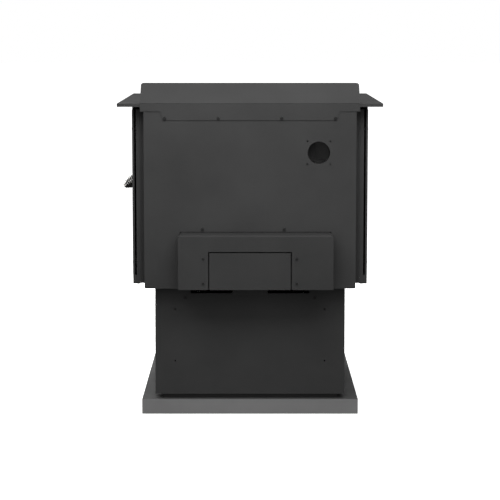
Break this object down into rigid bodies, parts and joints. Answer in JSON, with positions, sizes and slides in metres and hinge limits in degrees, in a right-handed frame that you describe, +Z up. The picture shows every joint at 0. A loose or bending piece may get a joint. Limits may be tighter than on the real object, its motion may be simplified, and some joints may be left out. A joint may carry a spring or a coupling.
{
  "type": "wood burning stove",
  "caption": "Pedestal wood burning stove: steel firebox with glass loading door and coil handle, ash drawer, rear heat shield with air intake port and blower housing.",
  "frame": {"origin": "centre of the base tray's underside, on the floor", "axes": "+Z up, -Y out of the loading door (front), +Y out of the rear heat shield, +X to the right seen from the front"},
  "size_m": [0.6917, 0.7768, 0.8378],
  "materials": {
    "body_black": "matt high-temperature paint",
    "base_grey": "satin charcoal paint",
    "screw_black": "black oxide",
    "cast_black": "painted casting",
    "bare_steel": "heat-dulled steel",
    "zinc_sheet": "zinc-coated sheet",
    "nickel": "bright nickel plate",
    "firebrick": "rough pressed refractory",
    "baffle_board": "rough vermiculite board",
    "glass_ceramic": "clear ceramic glass",
    "rope_grey": "braided glass-fibre rope",
    "tape_white": "woven glass-fibre tape"
  },
  "bodies": {
    "stove": {"base_tray": "base_grey", "base_bolts": "screw_black", "plinth_bars": "body_black", "pedestal_shell": "body_black", "pedestal_front": "body_black", "body_brackets": "body_black", "rear_tie_bracket": "body_black", "pedestal_screws": "screw_black", "drawer_housing": "zinc_sheet", "ash_chute": "bare_steel", "firebox_shell": "body_black", "firebox_front": "body_black", "top_plate": "body_black", "flue_gasket": "tape_white", "flue_collar": "cast_black", "flue_bolts": "screw_black", "side_jackets": "body_black", "rear_shield": "body_black", "duct_channels": "body_black", "intake_sleeve": "body_black", "shield_screws": "screw_black", "rear_deflector": "body_black", "deflector_screws": "screw_black", "blower_box": "body_black", "blower_cover": "body_black", "cover_screws": "screw_black", "side_shield_left": "body_black", "side_shield_right": "body_black", "side_spacers": "bare_steel", "side_screws": "screw_black", "air_manifold": "bare_steel", "secondary_tubes": "bare_steel", "baffle_boards": "baffle_board", "firebricks_floor": "firebrick", "firebricks_left": "firebrick", "firebricks_right": "firebrick", "firebricks_rear": "firebrick", "airwash_plate": "bare_steel", "ash_lip": "body_black", "air_intake_box": "body_black", "hinge_brackets": "body_black", "hinge_pins": "bare_steel", "latch_catch": "body_black"},
    "door": {"door_frame": "cast_black", "door_glass": "glass_ceramic", "glass_gasket": "tape_white", "glass_clips": "zinc_sheet", "glass_screws": "bare_steel", "door_gasket": "rope_grey"},
    "handle": {"latch_shaft": "bare_steel", "latch_cam": "bare_steel", "handle_arm": "screw_black", "handle_coil": "nickel", "handle_tip_nut": "nickel"},
    "air_control": {"air_damper": "bare_steel", "air_knob": "nickel"},
    "ash_drawer": {"drawer_pan": "zinc_sheet", "drawer_front": "body_black", "drawer_handle": "nickel"},
    "ash_plug": {"ash_plug": "cast_black"}
  },
  "joints": [
    {"name": "door_swing", "type": "hinge", "parent": "stove", "child": "door", "pos_m": [-0.246, -0.27, 0.545], "axis": [0, 0, -1], "range_deg": [0, 110]},
    {"name": "handle_turn", "type": "hinge", "parent": "door", "child": "handle", "pos_m": [0.238, -0.29, 0.594], "axis": [0, 1, 0], "range_deg": [0, 66]},
    {"name": "air_control_slide", "type": "slide", "parent": "stove", "child": "air_control", "axis": [1, 0, 0], "range_m": [0, 0.058]},
    {"name": "ash_drawer_slide", "type": "slide", "parent": "stove", "child": "ash_drawer", "axis": [0, -1, 0], "range_m": [0, 0.33]},
    {"name": "ash_plug_lift", "type": "slide", "parent": "stove", "child": "ash_plug", "axis": [0, 0, 1], "range_m": [0, 0.15]}
  ]
}
